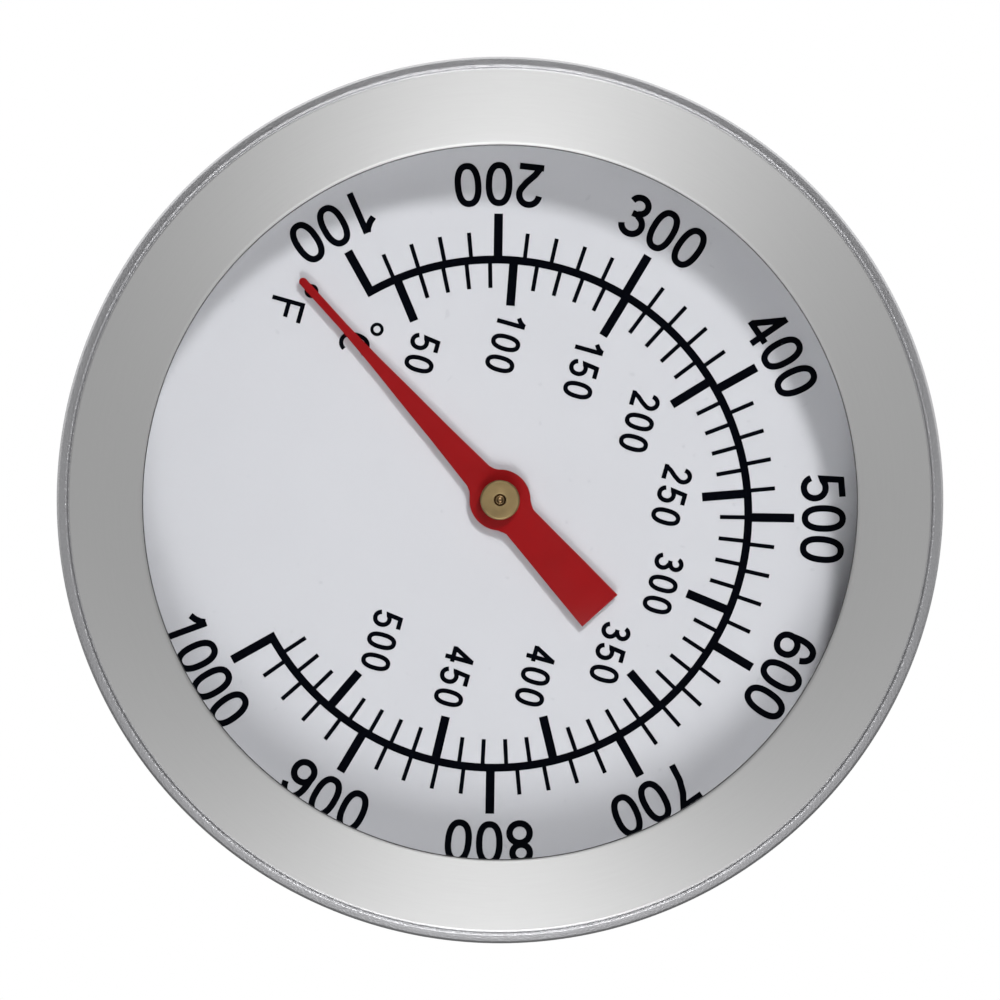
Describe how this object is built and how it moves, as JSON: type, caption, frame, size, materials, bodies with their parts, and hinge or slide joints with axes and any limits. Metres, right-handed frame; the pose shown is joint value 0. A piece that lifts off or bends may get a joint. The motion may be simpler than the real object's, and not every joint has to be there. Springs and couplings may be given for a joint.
{
  "type": "oven thermometer",
  "caption": "Round panel-mounted bimetal oven thermometer: steel bezel, lensed dial in degrees F and C, red pointer, rear stem, threaded bush and wing nut.",
  "frame": {"origin": "on the stem's axis, in the plane of the case's rear face, which seats on the front of the panel", "axes": "+Y along the stem, away from the dial; the dial faces -Y and is upright along +Z; +X is to the viewer's right"},
  "size_m": [0.06, 0.0771, 0.06],
  "materials": {
    "bezel_steel": "satin stainless, finely brushed round the ring",
    "stainless_steel": "drawn and turned stainless steel",
    "lens_glass": "clear flat glass",
    "seal_rubber": "matt black silicone",
    "dial_satin": "silver-white satin lacquer, with black printing on its face",
    "pointer_red": "dark red paint",
    "brass": "turned brass, dulled",
    "bimetal_strip": "rolled bimetal strip",
    "zinc_plate": "bright zinc plate"
  },
  "bodies": {
    "case": {"bezel_ring": "bezel_steel", "lens": "lens_glass", "lens_gasket": "seal_rubber", "spacer_ring": "stainless_steel", "dial_plate": "dial_satin", "case_back": "stainless_steel", "bush_seal": "seal_rubber", "stem_bush": "stainless_steel", "upper_guide_bush": "brass", "lower_guide_bush": "brass", "stem_tube": "stainless_steel", "tip_plug": "stainless_steel", "coil_anchor": "stainless_steel", "bimetal_coil": "bimetal_strip"},
    "movement": {"pointer": "pointer_red", "pointer_hub": "brass", "spindle": "stainless_steel", "coil_collar": "stainless_steel"},
    "washers": {"flat_washer": "zinc_plate", "spring_washer": "zinc_plate"},
    "nut": {"wing_nut": "zinc_plate"}
  },
  "joints": [
    {"name": "pointer_turn", "type": "hinge", "parent": "case", "child": "movement", "pos_m": [0, -0.008, 0], "axis": [0, 1, 0], "range_deg": [-12, 293], "stiffness_Nm_per_rad": 0.00002},
    {"name": "nut_travel", "type": "slide", "parent": "case", "child": "washers", "axis": [0, 1, 0], "range_m": [-0.00441, 0.00971]},
    {"name": "nut_spin", "type": "hinge", "parent": "washers", "child": "nut", "pos_m": [0, 0.012, 0], "axis": [0, 1, 0], "range_deg": [-1056, 2328]}
  ],
  "couplings": [
    {"joint": "nut_travel", "follows": "nut_spin", "m_per_rad": 0.00023873}
  ]
}
